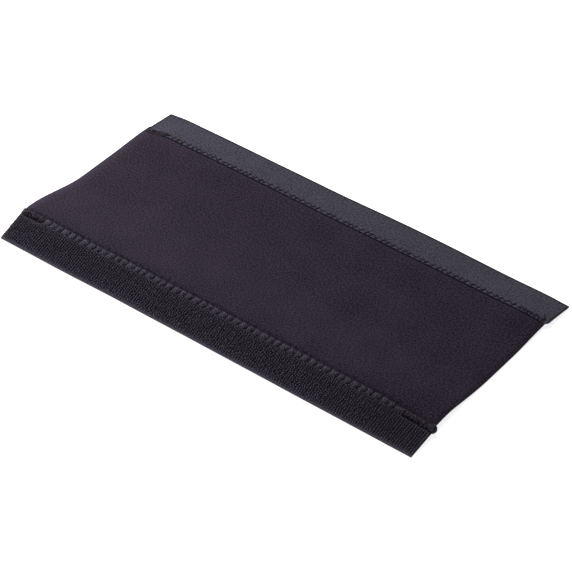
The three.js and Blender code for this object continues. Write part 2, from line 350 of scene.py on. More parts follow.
def dress(tree, shader, tone, stops, height=None, depth=0.0):
    """Colours the shader by a tone and embosses it to a depth in millimetres."""
    colour = add(tree, "ValToRGB", {"Fac": tone}, stops=stops)
    tree.links.new(colour.outputs["Color"], shader.inputs["Base Color"])
    if height is not None:
        bump = add(tree, "Bump", {"Height": height, "Distance": depth * MM})
        tree.links.new(bump.outputs["Normal"], shader.inputs["Normal"])


def knit_faced_neoprene():
    """Jersey knit laminated to foam rubber: dull and even, with a soft bloom of fibre
    ends where it is seen at a glancing angle."""
    finish, tree, shader = new_finish(
        "knit_faced_neoprene",
        Roughness=0.86,
        Specular_IOR_Level=0.2,
        Specular_Tint=linear("#cfc0e0"),
        Sheen_Weight=0.12,
        Sheen_Roughness=0.45,
        Sheen_Tint=linear("#8a78a2"),
    )
    cut = add(tree, "UVMap", uv_map="cut").outputs["UV"]
    # Wales and courses are 0.45 mm apart, drawn at twice that so that they show.
    wales, courses = (
        add(
            tree,
            "TexWave",
            {"Vector": cut, "Scale": repeats(0.9), "Distortion": bent, "Detail": 1.0},
            bands_direction=direction,
        )
        for direction, bent in (("Y", 1.2), ("X", 1.5))
    )
    # Tufts of loops catch the light unevenly, about 0.85 mm across.
    tufts = add(tree, "TexNoise", {"Vector": cut, "Scale": grains(0.85), "Detail": 1.0})
    clouds = add(tree, "TexNoise", {"Vector": cut, "Scale": grains(18), "Detail": 3.0})
    height = mixed(
        tree,
        (wales.outputs["Fac"], 0.08),
        (courses.outputs["Fac"], 0.07),
        (tufts.outputs["Fac"], 0.85),
    )
    # Painted sheen: the knit is painted paler along its left end, as if it catches
    # light from the left.
    along = add(tree, "SeparateXYZ", {"Vector": cut}).outputs["X"]
    painted_left_sheen = add(
        tree,
        "MapRange",
        {
            "Value": along,
            "From Min": -HALF_LENGTH * MM,
            "From Max": (7 - HALF_LENGTH) * MM,
            "To Min": 0.1,
            "To Max": 0.0,
        },
    )
    tone = mixed(
        tree,
        (height, 0.86),
        (clouds.outputs["Fac"], 0.14),
        (painted_left_sheen.outputs["Result"], 1.0),
    )
    stops = [(0.37, "#120e13"), (0.62, "#3d3542"), (0.76, "#474350")]
    dress(tree, shader, tone, stops, height, 0.12)
    return finish


def cut_foam_edge():
    """Chloroprene foam, die-cut: matt black with fine closed cells."""
    finish, tree, shader = new_finish(
        "cut_foam_edge", Roughness=0.92, Specular_IOR_Level=0.15
    )
    place = add(tree, "TexCoord").outputs["Object"]
    # The foam's cells are 0.15 mm across, drawn 0.4 mm across so that they show.
    cells = add(tree, "TexVoronoi", {"Vector": place, "Scale": grains(0.4)})
    cells = cells.outputs["Distance"]
    dress(tree, shader, cells, [(0.1, "#0d0c0f"), (0.9, "#221f26")], cells, 0.08)
    return finish


def woven_hook_web():
    """Plain-woven nylon under the hooks: ribs across the tape where the weft turns over
    the warp, painted light on the selvedge and in tufts on the sewn strip, and painted
    shade along the inner selvedge."""
    finish, tree, shader = new_finish(
        "woven_hook_web",
        Roughness=0.66,
        Specular_IOR_Level=0.25,
        Specular_Tint=linear("#d8d0e2"),
    )
    cut = add(tree, "UVMap", uv_map="cut").outputs["UV"]
    # A rib of turned weft under each row of hooks, and warp yarns 0.7 mm apart.
    weft = add(
        tree,
        "TexWave",
        {"Vector": cut, "Scale": repeats(ROW_SPACING), "Phase Offset": ROW_PHASE},
        bands_direction="X",
    )
    warp = add(
        tree,
        "TexWave",
        {"Vector": cut, "Scale": repeats(0.7), "Distortion": 0.6, "Detail": 1.0},
        bands_direction="Y",
    )
    fibres = add(tree, "TexNoise", {"Vector": cut, "Scale": grains(1.1)})
    height = mixed(
        tree,
        (weft.outputs["Fac"], 0.25),
        (warp.outputs["Fac"], 0.15),
        (fibres.outputs["Fac"], 0.6),
    )
    across = add(tree, "SeparateXYZ", {"Vector": cut}).outputs["Y"]
    # The free edge and the sewn strip catch more light, and the inner selvedge less.
    free_edge_light, sewn_strip_light, inner_edge_shade = (
        add(
            tree,
            "MapRange",
            {
                "Value": across,
                "From Min": start * MM,
                "From Max": end * MM,
                "To Min": before,
                "To Max": after,
            },
        )
        for start, end, before, after in (
            (SELVEDGE_WIDTH - 0.7, SELVEDGE_WIDTH - 0.1, 0.36, 0.0),
            (HOOK_FIELD_END + 1.1, HOOK_FIELD_END + 2.9, 0.0, 0.34),
            (TAPE_WIDTH - 0.6, TAPE_WIDTH - 0.25, 0.0, -0.4),
        )
    )
    # The sewn strip's painted light is broken into pale tufts about 1 mm across.
    tuft_noise = add(tree, "TexNoise", {"Vector": cut, "Scale": grains(1.0), "Detail": 1.0})
    tuft_mask = add(
        tree,
        "MapRange",
        {"Value": tuft_noise.outputs["Fac"], "From Min": 0.4, "From Max": 0.62},
    )
    tufts = add(
        tree,
        "Math",
        {0: sewn_strip_light.outputs["Result"], 1: tuft_mask.outputs["Result"]},
        operation="MULTIPLY",
    )
    # Painted shade and light: the web is painted darker in the grooves the stitches
    # press in and lighter on the bulges between them.
    rise = add(tree, "Attribute", attribute_name="rise").outputs["Fac"]
    tone = mixed(
        tree,
        (height, 0.75),
        (free_edge_light.outputs["Result"], 1.0),
        (tufts.outputs[0], 1.0),
        (inner_edge_shade.outputs["Result"], 1.0),
        (rise, 0.6),
    )
    stops = [(0.12, "#161418"), (0.42, "#322e36"), (0.85, "#5d5867")]
    dress(tree, shader, tone, stops, height, 0.15)
    return finish


def nylon_monofilament():
    """Drawn nylon filament for the hooks: dark, dulled and scuffed by use."""
    finish, tree, shader = new_finish(
        "nylon_monofilament",
        Roughness=0.58,
        IOR=1.53,
        Specular_IOR_Level=0.28,
        Specular_Tint=linear("#d8cfe6"),
    )
    # Painted light and shade: the crests are painted paler, as if lit, and the feet
    # darker, where little light reaches.
    rise = add(tree, "Attribute", attribute_name="rise").outputs["Fac"]
    place = add(tree, "TexCoord").outputs["Object"]
    scuffs = add(
        tree, "TexNoise", {"Vector": place, "Scale": grains(1.8), "Detail": 3.0}
    )
    # Handling has worn them palest beside the free edge.
    cut = add(tree, "UVMap", uv_map="cut").outputs["UV"]
    across = add(tree, "SeparateXYZ", {"Vector": cut}).outputs["Y"]
    worn = add(
        tree,
        "MapRange",
        {
            "Value": across,
            "From Min": SELVEDGE_WIDTH * MM,
            "From Max": 6 * MM,
            "To Min": 0.24,
            "To Max": 0.0,
        },
    )
    tone = mixed(
        tree,
        (rise, 0.7),
        (scuffs.outputs["Fac"], 0.5),
        (worn.outputs["Result"], 1.0),
    )
    stops = [(0.3, "#2a2630"), (0.72, "#494250"), (1.0, "#645d6e")]
    dress(tree, shader, tone, stops)
    return finish


def satin_woven_back():
    """The loop tape's back: fine nylon yarns in a flat weave with a satin gleam."""
    finish, tree, shader = new_finish(
        "satin_woven_back",
        Roughness=0.62,
        Specular_IOR_Level=0.3,
        Specular_Tint=linear("#dad8ea"),
        Sheen_Weight=0.15,
        Sheen_Roughness=0.4,
        Sheen_Tint=linear("#9894b6"),
    )
    cut = add(tree, "UVMap", uv_map="cut").outputs["UV"]
    # One repeat of the weave is 0.5 mm each way, drawn at twice that so that it shows.
    weft, warp = (
        add(
            tree,
            "TexWave",
            {"Vector": cut, "Scale": repeats(1.0), "Distortion": 1.5, "Detail": 1.0},
            bands_direction=direction,
        )
        for direction in "XY"
    )
    # Yarns stand a little prouder here and there, in patches 0.9 mm across.
    patches = add(
        tree, "TexNoise", {"Vector": cut, "Scale": grains(0.9), "Detail": 0.5}
    )
    height = mixed(
        tree,
        (weft.outputs["Fac"], 0.1),
        (warp.outputs["Fac"], 0.1),
        (patches.outputs["Fac"], 0.8),
    )
    clouds = add(tree, "TexNoise", {"Vector": cut, "Scale": grains(12)})
    spot = add(tree, "SeparateXYZ", {"Vector": cut})
    # Painted shade: both cut ends and the free edge are painted dark, as the shaded
    # side of the tape's thickness.
    middle = LOOP_TAPE_INSET / 2
    from_middle = add(
        tree, "Math", {0: spot.outputs["X"], 1: middle * MM}, operation="SUBTRACT"
    )
    off_middle = add(tree, "Math", {0: from_middle.outputs[0]}, operation="ABSOLUTE")
    painted_end_shade, free_edge_shade = (
        add(
            tree,
            "MapRange",
            {
                "Value": value,
                "From Min": (rim - 0.5) * MM,
                "From Max": rim * MM,
                "To Min": 0.0,
                "To Max": darker,
            },
        )
        for value, rim, darker in (
            (off_middle.outputs[0], HALF_LENGTH - middle - 0.6, -0.5),
            (spot.outputs["Y"], CLOTH_WIDTH - 0.75, -0.6),
        )
    )
    # Painted shade and light: the web is painted darker in the grooves the stitches
    # press in and lighter on the bulges between them.
    rise = add(tree, "Attribute", attribute_name="rise").outputs["Fac"]
    tone = mixed(
        tree,
        (height, 0.88),
        (clouds.outputs["Fac"], 0.12),
        (painted_end_shade.outputs["Result"], 1.0),
        (free_edge_shade.outputs["Result"], 1.0),
        (rise, 0.5),
    )
    stops = [(0.0, "#0b0a0d"), (0.36, "#232228"), (0.64, "#52505c")]
    dress(tree, shader, tone, stops, height, 0.12)
    return finish


def sealed_tape_edge():
    """Heat-cut and pressed nylon: hard, a little shiny and darker than the web."""
    finish, tree, shader = new_finish(
        "sealed_tape_edge", Roughness=0.55, Specular_IOR_Level=0.25
    )
    place = add(tree, "TexCoord").outputs["Object"]
    lumps = add(tree, "TexNoise", {"Vector": place, "Scale": grains(0.6)})
    lumps = lumps.outputs["Fac"]
    dress(tree, shader, lumps, [(0.3, "#232026"), (0.7, "#47434d")], lumps, 0.06)
    return finish


def napped_loop_pile():
    """Crimped nylon loops, brushed up: soft and fuzzy, a shade lighter than the web."""
    finish, tree, shader = new_finish(
        "napped_loop_pile",
        Roughness=0.7,
        Specular_IOR_Level=0.3,
        Sheen_Weight=0.3,
        Sheen_Tint=linear("#9a98b0"),
    )
    place = add(tree, "TexCoord").outputs["Object"]
    tufts = add(
        tree, "TexNoise", {"Vector": place, "Scale": grains(1.6), "Detail": 3.0}
    )
    dress(tree, shader, tufts.outputs["Fac"], [(0.3, "#19171d"), (0.7, "#35313c")])
    return finish


def twisted_polyester_thread():
    """Three-ply polyester, black, painted paler where the thread stands proud of the
    tape
    and dark where it is pulled in: painted light and shade."""
    finish, tree, shader = new_finish(
        "twisted_polyester_thread",
        Roughness=0.72,
        Specular_IOR_Level=0.2,
        Specular_Tint=linear("#dccbdc"),
    )
    # Painted light and shade: each place is painted paler the more it stands up in the
    # light, and dark where it is pulled in.
    thread_light = add(tree, "Attribute", attribute_name="thread_light").outputs["Fac"]
    place = add(tree, "TexCoord").outputs["Object"]
    # The fuzz comes in tufts about 1.2 mm apart, and between them the thread is dark.
    fibres = add(
        tree, "TexNoise", {"Vector": place, "Scale": grains(1.2), "Detail": 3.0}
    )
    tone = mixed(tree, (thread_light, 1.0), (fibres.outputs["Fac"], 1.0))
    stops = [(0.35, "#08070a"), (0.58, "#2b262d"), (0.88, "#5f5869")]
    dress(tree, shader, tone, stops, fibres.outputs["Fac"], 0.1)
    return finish


def evenly(start, end, step):
    """Lines from start to end, about step apart, without the start."""
    return list(np.linspace(start, end, max(1, round((end - start) / step)) + 1)[1:])


def cut_sheet(lines_along, lines_across, thickness, arris):
    """A flat bmesh sheet with rounded arrises: z is 0 below, the thickness on top."""
    sheet = bmesh.new()
    columns, rows = len(lines_along) - 1, len(lines_across) - 1
    bmesh.ops.create_grid(sheet, x_segments=columns, y_segments=rows, size=0.5)
    places = np.array([v.co for v in sheet.verts])
    shares = [np.unique(np.round(places[:, k], 6)) for k in (0, 1)]
    for vertex in sheet.verts:
        spots = []
        for k, lines in ((0, lines_along), (1, lines_across)):
            even = np.linspace(0, 1, len(lines))
            share = np.interp(vertex.co[k], shares[k], even)
            spots.append(np.interp(share, even, lines))
        vertex.co = (*spots, 0)
    risen = bmesh.ops.extrude_face_region(sheet, geom=sheet.faces[:])["geom"]
    risen = [v for v in risen if isinstance(v, bmesh.types.BMVert)]
    bmesh.ops.translate(sheet, verts=risen, vec=(0, 0, thickness))
    bmesh.ops.recalc_face_normals(sheet, faces=sheet.faces[:])
    rim = [e for e in sheet.edges if e.is_manifold and e.calc_face_angle() > 0.5]
    bmesh.ops.bevel(
        sheet,
        geom=rim,
        offset=arris,
        segments=2,
        affect="EDGES",
        profile=0.5,
        material=-1,
        clamp_overlap=True,
    )
    for face in sheet.faces:
        # Upright faces are the cut edge, which has the second finish.
        face.material_index = int(abs(face.normal.z) < 0.5)
    return sheet


def nearest_of(points):
    """A search that finds the one of these points nearest to a place."""
    tree = KDTree(len(points))
    for number, point in enumerate(points):
        tree.insert(point, number)
    tree.balance()
    return tree.find


def as_mesh(made, name):
    """A bmesh as a smooth mesh."""
    for face in made.faces:
        face.smooth = True
    mesh = bpy.data.meshes.new(name)
    made.to_mesh(mesh)
    made.free()
    return mesh


def place_piece(name, made, finishes, node=None, reshape=None, attributes=()):
    """Makes a flat bmesh a finished piece: shaped, mapped and laid down."""
    mesh = as_mesh(made, name)
    flat = np.empty(len(mesh.vertices) * 3, np.float32)
    mesh.vertices.foreach_get("co", flat)
    flat = flat.reshape(-1, 3).astype(float)
    corners = np.empty(len(mesh.loops), np.int32)
    mesh.loops.foreach_get("vertex_index", corners)
    if reshape is not None:
        flat = reshape(flat)
    # The materials read each place's spot in the cut cloth, in metres, from this map.
    cut = mesh.uv_layers.new(name="cut")
    cut.data.foreach_set("uv", (flat[corners, :2] * MM).astype(np.float32).ravel())
    # They also read its height above the web.
    measures = {"rise": flat[:, 2] - WEB_THICKNESS}
    for label, measure in attributes:
        measures[label] = measure(flat)
    for label, values in measures.items():
        attribute = mesh.attributes.new(label, "FLOAT", "POINT")
        attribute.data.foreach_set("value", values.astype(np.float32))
    mesh.vertices.foreach_set("co", cloth.lay(flat).astype(np.float32).ravel())
    mesh.update()
    for finish in finishes:
        mesh.materials.append(finish)
    piece = bpy.data.objects.new(name, mesh)
    bpy.context.scene.collection.objects.link(piece)
    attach(piece, "root")
    if node:
        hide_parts(node)
    return piece


class Seam:
    """One zigzag seam: open stitches, with passes of dense ones at both ends."""

    # The ridge under a tack is this much wider than the stitches on either side, runs
    # this far past the tack, and fades over these lengths at its left and right.
    ridge_margin, ridge_overrun, ridge_fades = 0.45, 0.8, (3.0, 4.0)
    stray_length = 15.0

    def __init__(
        self, centre, width, pitch, ends, tack_start, tack_end, swells, drift, wear
    ):
        self.centre, self.width = centre, width
        # How high the ridges under its tacks are, and how far its left end strays.
        self.swells, self.drift = swells, drift
        # Painted light: how much paler the tacks, and the legs that bow up over the
        # tape, are painted.
        self.tack_wear, self.leg_light = wear
        left, right = ends
        self.left = left
        self.open_start, self.open_end = left + tack_start, right - tack_end
        self.periods = round((self.open_end - self.open_start) / pitch)
        tacks = [round(tack_start / TACK_PITCH), round(tack_end / TACK_PITCH)]
        # Each run is from, to, its number of stitches and how many threads it lies on.
        # No two passes of a tack turn at quite the same place.
        self.runs = [
            (self.open_start + 1.1, left + 0.5, tacks[0], 0),
            (left, self.open_start - 0.6, tacks[0] - 1, 1),
            (self.open_start - 0.6, left + 0.2, tacks[0] + 1, 2),
            (left + 0.2, self.open_start, tacks[0] - 2, 1),
            (self.open_start, self.open_end, self.periods, 0),
            (self.open_end, right, tacks[1], 0),
            (right, self.open_end + 0.9, tacks[1] + 1, 1),
            (self.open_end + 0.9, right + 0.3, tacks[1] - 1, 2),
        ]

    def side(self, turn):
        """Where across its width the zigzag is, -1 to 1: out more quickly than back."""
        turn %= 1
        if turn < QUICK_LEG:
            return turn / QUICK_LEG * 2 - 1
        return 1 - (turn - QUICK_LEG) / (1 - QUICK_LEG) * 2

    def stray(self, x):
        """How far the seam and the tape's edge wander inward at the tape's left end."""
        from_end = x - self.left + THREAD_END_DISTANCE
        return self.drift * (1 - ease(from_end / self.stray_length))

    def swell(self, x, y):
        """The ridge that the tape makes under each tack, highest along its middle."""
        left, right = self.swells
        fade_left, fade_right = self.ridge_fades
        rise = left * ease((self.open_start + self.ridge_overrun - x) / fade_left)
        inside = x - self.open_end + self.ridge_overrun
        rise = rise + right * ease(inside / fade_right)
        off = (y - self.centre) / (self.width / 2 + self.ridge_margin)
        return rise * np.maximum(0.0, 1 - off**2)

    def path(self, base, rise, dip, side_up=1):
        """Flat points along the thread, and the painted light it has at each.
        Base is its height, rise what each thread under it adds, dip how deep it goes at
        the needle holes, and side_up 1 where the ridge under a tack lifts it."""
        points, thread_light = [], []
        phase = 0.0
        for start, end, stitches, layer in self.runs:
            tack = stitches != self.periods
            # Tacks are sewn less evenly than the open stitches, and less deep.
            wanders, sways, pinch = (0.16, 0.22, 0.5) if tack else (0.09, 0.12, 1)
            length = math.hypot(end - start, 2 * self.width * stitches)
            count = max(4, round(length / THREAD_STEP))
            for i in range(count):
                t = i / count
                turn = phase + t * stitches
                side = self.side(turn)
                hole = math.exp(-(((1 - abs(side)) / 0.2) ** 2))
                # Sines at odd rates leave no two stitches quite the same.
                wander = math.sin(turn * 2.3 + layer) + math.sin(turn * 5.9 + 2 * layer)
                width = self.width * (1 + wanders * wander)
                sway = sways * math.sin(turn * 1.7 + 3 * layer)
                lift = base + rise * layer - dip * hole * pinch
                # Painted light: the tacks are painted a little paler, each pass laid
                # over another more so.
                light_level = self.tack_wear + 0.05 * layer
                if not tack:
                    # The quick leg is pulled in and the slow one bows up over the tape;
                    # the slow leg is painted paler, as if lit, and the quick one dark,
                    # as if shaded.
                    bow = 0.0 if turn % 1 < QUICK_LEG else 1 - side**4
                    light_level = bow * self.leg_light * (1 + 0.45 * side)
                    lift += (1.1 * bow - 0.6) * dip * (1 - side**2)
                thread_light.append(light_level)
                x = start + (end - start) * t + 0.4 * math.sin(turn * 1.9)
                y = self.centre + sway + width / 2 * side - float(self.stray(x))
                lift += 0.08 * math.sin(turn * 3.1) if layer else 0
                points.append((x, y, lift + side_up * float(self.swell(x, y))))
            phase += stitches
        return points, thread_light


HOOK_SEAM = Seam(
    HOOK_SEAM_CENTRE,
    HOOK_SEAM_WIDTH,
    HOOK_SEAM_PITCH,
    ends=(THREAD_END_DISTANCE - HALF_LENGTH, HALF_LENGTH - THREAD_END_DISTANCE),
    tack_start=12.5,
    tack_end=17.5,
    swells=(0.15, 0.45),
    drift=0.0,
    wear=(0.06, 0.3),
)
LOOP_SEAM = Seam(
    LOOP_SEAM_CENTRE,
    LOOP_SEAM_WIDTH,
    LOOP_SEAM_PITCH,
    ends=(THREAD_END_DISTANCE + LOOP_TAPE_INSET - HALF_LENGTH, HALF_LENGTH - 2.5),
    tack_start=12.0,
    tack_end=15.3,
    swells=(0.05, 0.2),
    drift=1.1,
    wear=(0.03, 0.05),
)


def twisted(points, radius):
    """A three-ply thread along flat points, as a closed bmesh."""
    section = bpy.data.curves.new("plies", "CURVE")
    section.dimensions = "2D"
    outline = section.splines.new("POLY")
    corners, plies, ply_relief = 9, 3, 0.16
    outline.points.add(corners - 1)
    for k, point in enumerate(outline.points):
        angle = math.tau * k / corners
        reach = radius * (1.0 + ply_relief * math.cos(plies * angle))
        point.co = (reach * math.cos(angle), reach * math.sin(angle), 0, 1)
    outline.use_cyclic_u = True
    shape = bpy.data.objects.new("plies", section)
    bpy.context.scene.collection.objects.link(shape)
    data = bpy.data.curves.new("thread", "CURVE")
    data.dimensions = "3D"
    data.bevel_mode = "OBJECT"
    data.bevel_object = shape
    data.use_fill_caps = True
    line = data.splines.new("POLY")
    line.points.add(len(points) - 1)
    gone = 0.0
    for k, (point, place) in enumerate(zip(line.points, points)):
        if k:
            gone += (Vector(place) - Vector(points[k - 1])).length
        point.co = (*place, 1)
        point.tilt = math.tau * gone / TWIST_LENGTH
    holder = bpy.data.objects.new("thread", data)
    bpy.context.scene.collection.objects.link(holder)
    bpy.context.view_layer.update()
    evaluated = holder.evaluated_get(bpy.context.evaluated_depsgraph_get())
    mesh = bpy.data.meshes.new_from_object(evaluated)
    for used in (holder, shape):
        bpy.data.objects.remove(used)
    thread = bmesh.new()
    thread.from_mesh(mesh)
    bpy.data.meshes.remove(mesh)
    bmesh.ops.remove_doubles(thread, verts=thread.verts[:], dist=1e-5)
    bmesh.ops.recalc_face_normals(thread, faces=thread.faces[:])
    return thread


def stitch_relief(flat, seam, press, bulge, reach, groove):
    """How far the web sinks under each quick leg and swells between them: press and
    bulge are the heights, groove and reach the widths, in millimetres."""
    bulge_reach = 1.5
    points, thread_light = seam.path(0, 0, 0)
    legs = [(x, y, 0) for (x, y, _), light_level in zip(points, thread_light) if light_level == 0]
    nearest_leg = nearest_of(legs)
    x, y, _ = flat.T
    near = (abs(y - seam.centre) < seam.width / 2 + reach) & (x > seam.open_start)
    moved = np.zeros(len(flat))
    for k in np.flatnonzero(near & (x < seam.open_end)):
        distance = nearest_leg((x[k], y[k], 0))[2]
        edge = (seam.width / 2 + reach - abs(y[k] - seam.centre)) / reach
        # No two stitches are pulled equally tight.
        pull = 0.65 + 0.35 * math.sin(x[k] * 0.83) * math.sin(x[k] * 0.31 + 1)
        swollen = bulge * pull * (1 - math.exp(-((distance / bulge_reach) ** 2)))
        sunk = press * (1.6 - pull) * math.exp(-((distance / groove) ** 2))
        moved[k] = (swollen - sunk) * min(1.0, edge)
    return moved


def shape_neoprene(flat):
    """Full thickness between the seams, pinched under the tapes, its ends drawn in."""
    x, y, z = flat.T
    top_side = z / NEOPRENE_THICKNESS
    middle = (NEOPRENE_START + NEOPRENE_END) / 2
    draw = SEAM_DRAW * ((y - middle) / (NEOPRENE_WIDTH / 2)) ** 2
    left = draw - HALF_LENGTH
    excess = CORNER_EXCESS * (1 - ease((y - NEOPRENE_START) / CORNER_EXCESS_WIDTH))
    right = HALF_LENGTH - RIGHT_END_INSET - draw + excess
    x = left + (x + HALF_LENGTH) / PANEL_LENGTH * (right - left)
    # The needle holes near a tape's edge hold the neoprene down a little further.
    pull = np.where(
        y < middle,
        np.cos(math.tau * (x - HOOK_SEAM.open_start) / HOOK_SEAM_PITCH),
        -np.cos(math.tau * (x - LOOP_SEAM.open_start) / LOOP_SEAM_PITCH),
    )
    inward = np.minimum(y - TAPE_WIDTH, LOOP_TAPE_START - y) - HOLE_PULL * pull
    swell = 1 - (1 - np.clip(inward / SWELL_WIDTH, 0, 1)) ** 2
    top = PRESSED_TOP + (FREE_TOP - PRESSED_TOP) * swell
    bottom = PRESSED_BOTTOM + (FREE_BOTTOM - PRESSED_BOTTOM) * swell
    top -= LEFT_ROLL * swell * np.clip(1 - (x - left) / LEFT_ROLL_LENGTH, 0, 1) ** 3
    top -= RIGHT_ROLL * swell * (1 - ease((right - x) / RIGHT_ROLL_LENGTH)) ** 2
    top -= RIGHT_FALL * swell * (1 - ease((right - x) / RIGHT_FALL_LENGTH))
    return np.stack([x, y, bottom + top_side * (top - bottom)], axis=1)


def make_neoprene(finishes):
    """The panel, its mesh finest at the ends and where it swells beside the tapes."""
    near, far = TAPE_WIDTH + 3, LOOP_TAPE_START - 3
    lines = [NEOPRENE_START, *evenly(NEOPRENE_START, TAPE_WIDTH, 1.2)]
    lines += evenly(TAPE_WIDTH, near, 0.33)
    lines += evenly(near, far, 2.0)
    lines += evenly(far, LOOP_TAPE_START, 0.33)
    lines += evenly(LOOP_TAPE_START, NEOPRENE_END, 1.2)
    ends = [0.35, 0.9, 1.6, 2.4, 3.3]
    along = [-HALF_LENGTH, *(d - HALF_LENGTH for d in ends)]
    along += evenly(ends[-1] - HALF_LENGTH, HALF_LENGTH - ends[-1], 0.75)
    along += [HALF_LENGTH - d for d in ends[-2::-1]] + [HALF_LENGTH]
    sheet = cut_sheet(along, lines, NEOPRENE_THICKNESS, CLOTH_ARRIS)
    return place_piece(
        "neoprene_cloth", sheet, finishes, "neoprene_panel", shape_neoprene
    )


def shape_hook_web(flat):
    """The web pressed in by its seam, with a thicker bead along its selvedge."""
    moved = flat.copy()
    x, y, z = flat.T
    on_top = z / WEB_THICKNESS
    relief = stitch_relief(
        flat, HOOK_SEAM, press=0.3, bulge=0.12, reach=0.6, groove=0.55
    )
    moved[:, 2] += on_top * relief
    moved[:, 2] += on_top * HOOK_SEAM.swell(x, y)
    # Beside both tacks the tape is pulled down in front of the last hooks.
    in_tack = 1 - ease((x - HOOK_SEAM.open_start) / 2 + 1)
    in_tack += ease((x - HOOK_SEAM.open_end) / 2)
    furrow, depth, reach = HOOK_FIELD_END + 0.6, 0.3, 0.4
    moved[:, 2] -= on_top * depth * in_tack * np.exp(-(((y - furrow) / reach) ** 2))
    bead, height, reach = 0.9, 0.12, 0.7
    moved[:, 2] += on_top * height * np.exp(-(((y - bead) / reach) ** 2))
    return moved


def make_hook_web(finishes):
    """The hook tape's web, its mesh finest under the seam."""
    lines = [0.0, 0.25, *evenly(0.25, SELVEDGE_WIDTH, 0.4)]
    lines += evenly(SELVEDGE_WIDTH, HOOK_FIELD_END - 0.6, 2.2)
    lines += evenly(HOOK_FIELD_END - 0.6, TAPE_WIDTH, 0.32)
    along = [-HALF_LENGTH, *evenly(-HALF_LENGTH, HALF_LENGTH, 0.4)]
    sheet = cut_sheet(along, lines, WEB_THICKNESS, TAPE_ARRIS)
    return place_piece(
        "hook_tape_web", sheet, finishes, "hook_tape", shape_hook_web
    )


def shape_loop_web(flat):
    """The web pressed in by its seam, its inner edge astray at the left and its right
    inner corner trimmed round."""
    moved = flat.copy()
    x, y, z = flat.T
    on_top = z / WEB_THICKNESS
    relief = stitch_relief(
        flat, LOOP_SEAM, press=0.34, bulge=0.2, reach=0.4, groove=0.5
    )
    moved[:, 2] += on_top * relief
    moved[:, 2] += on_top * LOOP_SEAM.swell(x, y)
    in_from_edge = y - LOOP_TAPE_START
    moved[:, 1] -= LOOP_SEAM.stray(x) * (1 - ease(in_from_edge / STRAY_WIDTH))
    corner = np.clip(1 - in_from_edge / CORNER_TRIM_WIDTH, 0, 1) ** 2
    at_end = ease((x - HALF_LENGTH + CORNER_TRIM_LENGTH) / CORNER_TRIM_LENGTH)
    moved[:, 0] -= CORNER_TRIM * corner * at_end
    return moved


def make_loop_web(finishes):
    """The loop tape's web, its mesh finest under the seam."""
    lines = [LOOP_TAPE_START, *evenly(LOOP_TAPE_START, LOOP_TAPE_START + 3.6, 0.3)]
    lines += evenly(LOOP_TAPE_START + 3.6, CLOTH_WIDTH - 0.6, 2.2)
    lines += [CLOTH_WIDTH - 0.3, CLOTH_WIDTH]
    left = LOOP_TAPE_INSET - HALF_LENGTH
    along = [left, *evenly(left, HALF_LENGTH, 0.4)]
    sheet = cut_sheet(along, lines, WEB_THICKNESS, TAPE_ARRIS)
    return place_piece(
        "loop_tape_web", sheet, finishes, "loop_tape", shape_loop_web
    )


def bent_filament(points, radius, sides=4):
    """One filament as a small bmesh: a ring of points extruded along its bends."""
    filament = bmesh.new()
    ring = bmesh.ops.create_circle(
        filament, cap_ends=True, segments=sides, radius=radius
    )["verts"]
    points = [Vector(p) for p in points]
    aim = (points[1] - points[0]).to_track_quat("Z", "X")
    bmesh.ops.rotate(filament, verts=ring, matrix=aim.to_matrix())
    bmesh.ops.translate(filament, verts=ring, vec=points[0])
    end = next(iter(filament.faces))
    for k in range(1, len(points)):
        risen = bmesh.ops.extrude_discrete_faces(filament, faces=[end])["faces"]
        end = risen[0]
        after = points[min(k + 1, len(points) - 1)] - points[k - 1]
        turn = after.to_track_quat("Z", "X") @ aim.inverted()
        verts = end.verts[:]
        bmesh.ops.translate(filament, verts=verts, vec=points[k] - points[k - 1])
        bmesh.ops.rotate(filament, cent=points[k], verts=verts, matrix=turn.to_matrix())
        aim = after.to_track_quat("Z", "X")
    return filament


def gather(placed):
    """One bmesh of many copies, from (mesh, matrix) pairs."""
    whole = bmesh.new()
    for mesh, matrix in placed:
        copy = mesh.copy()
        copy.transform(matrix)
        whole.from_mesh(copy)
        bpy.data.meshes.remove(copy)
    return whole


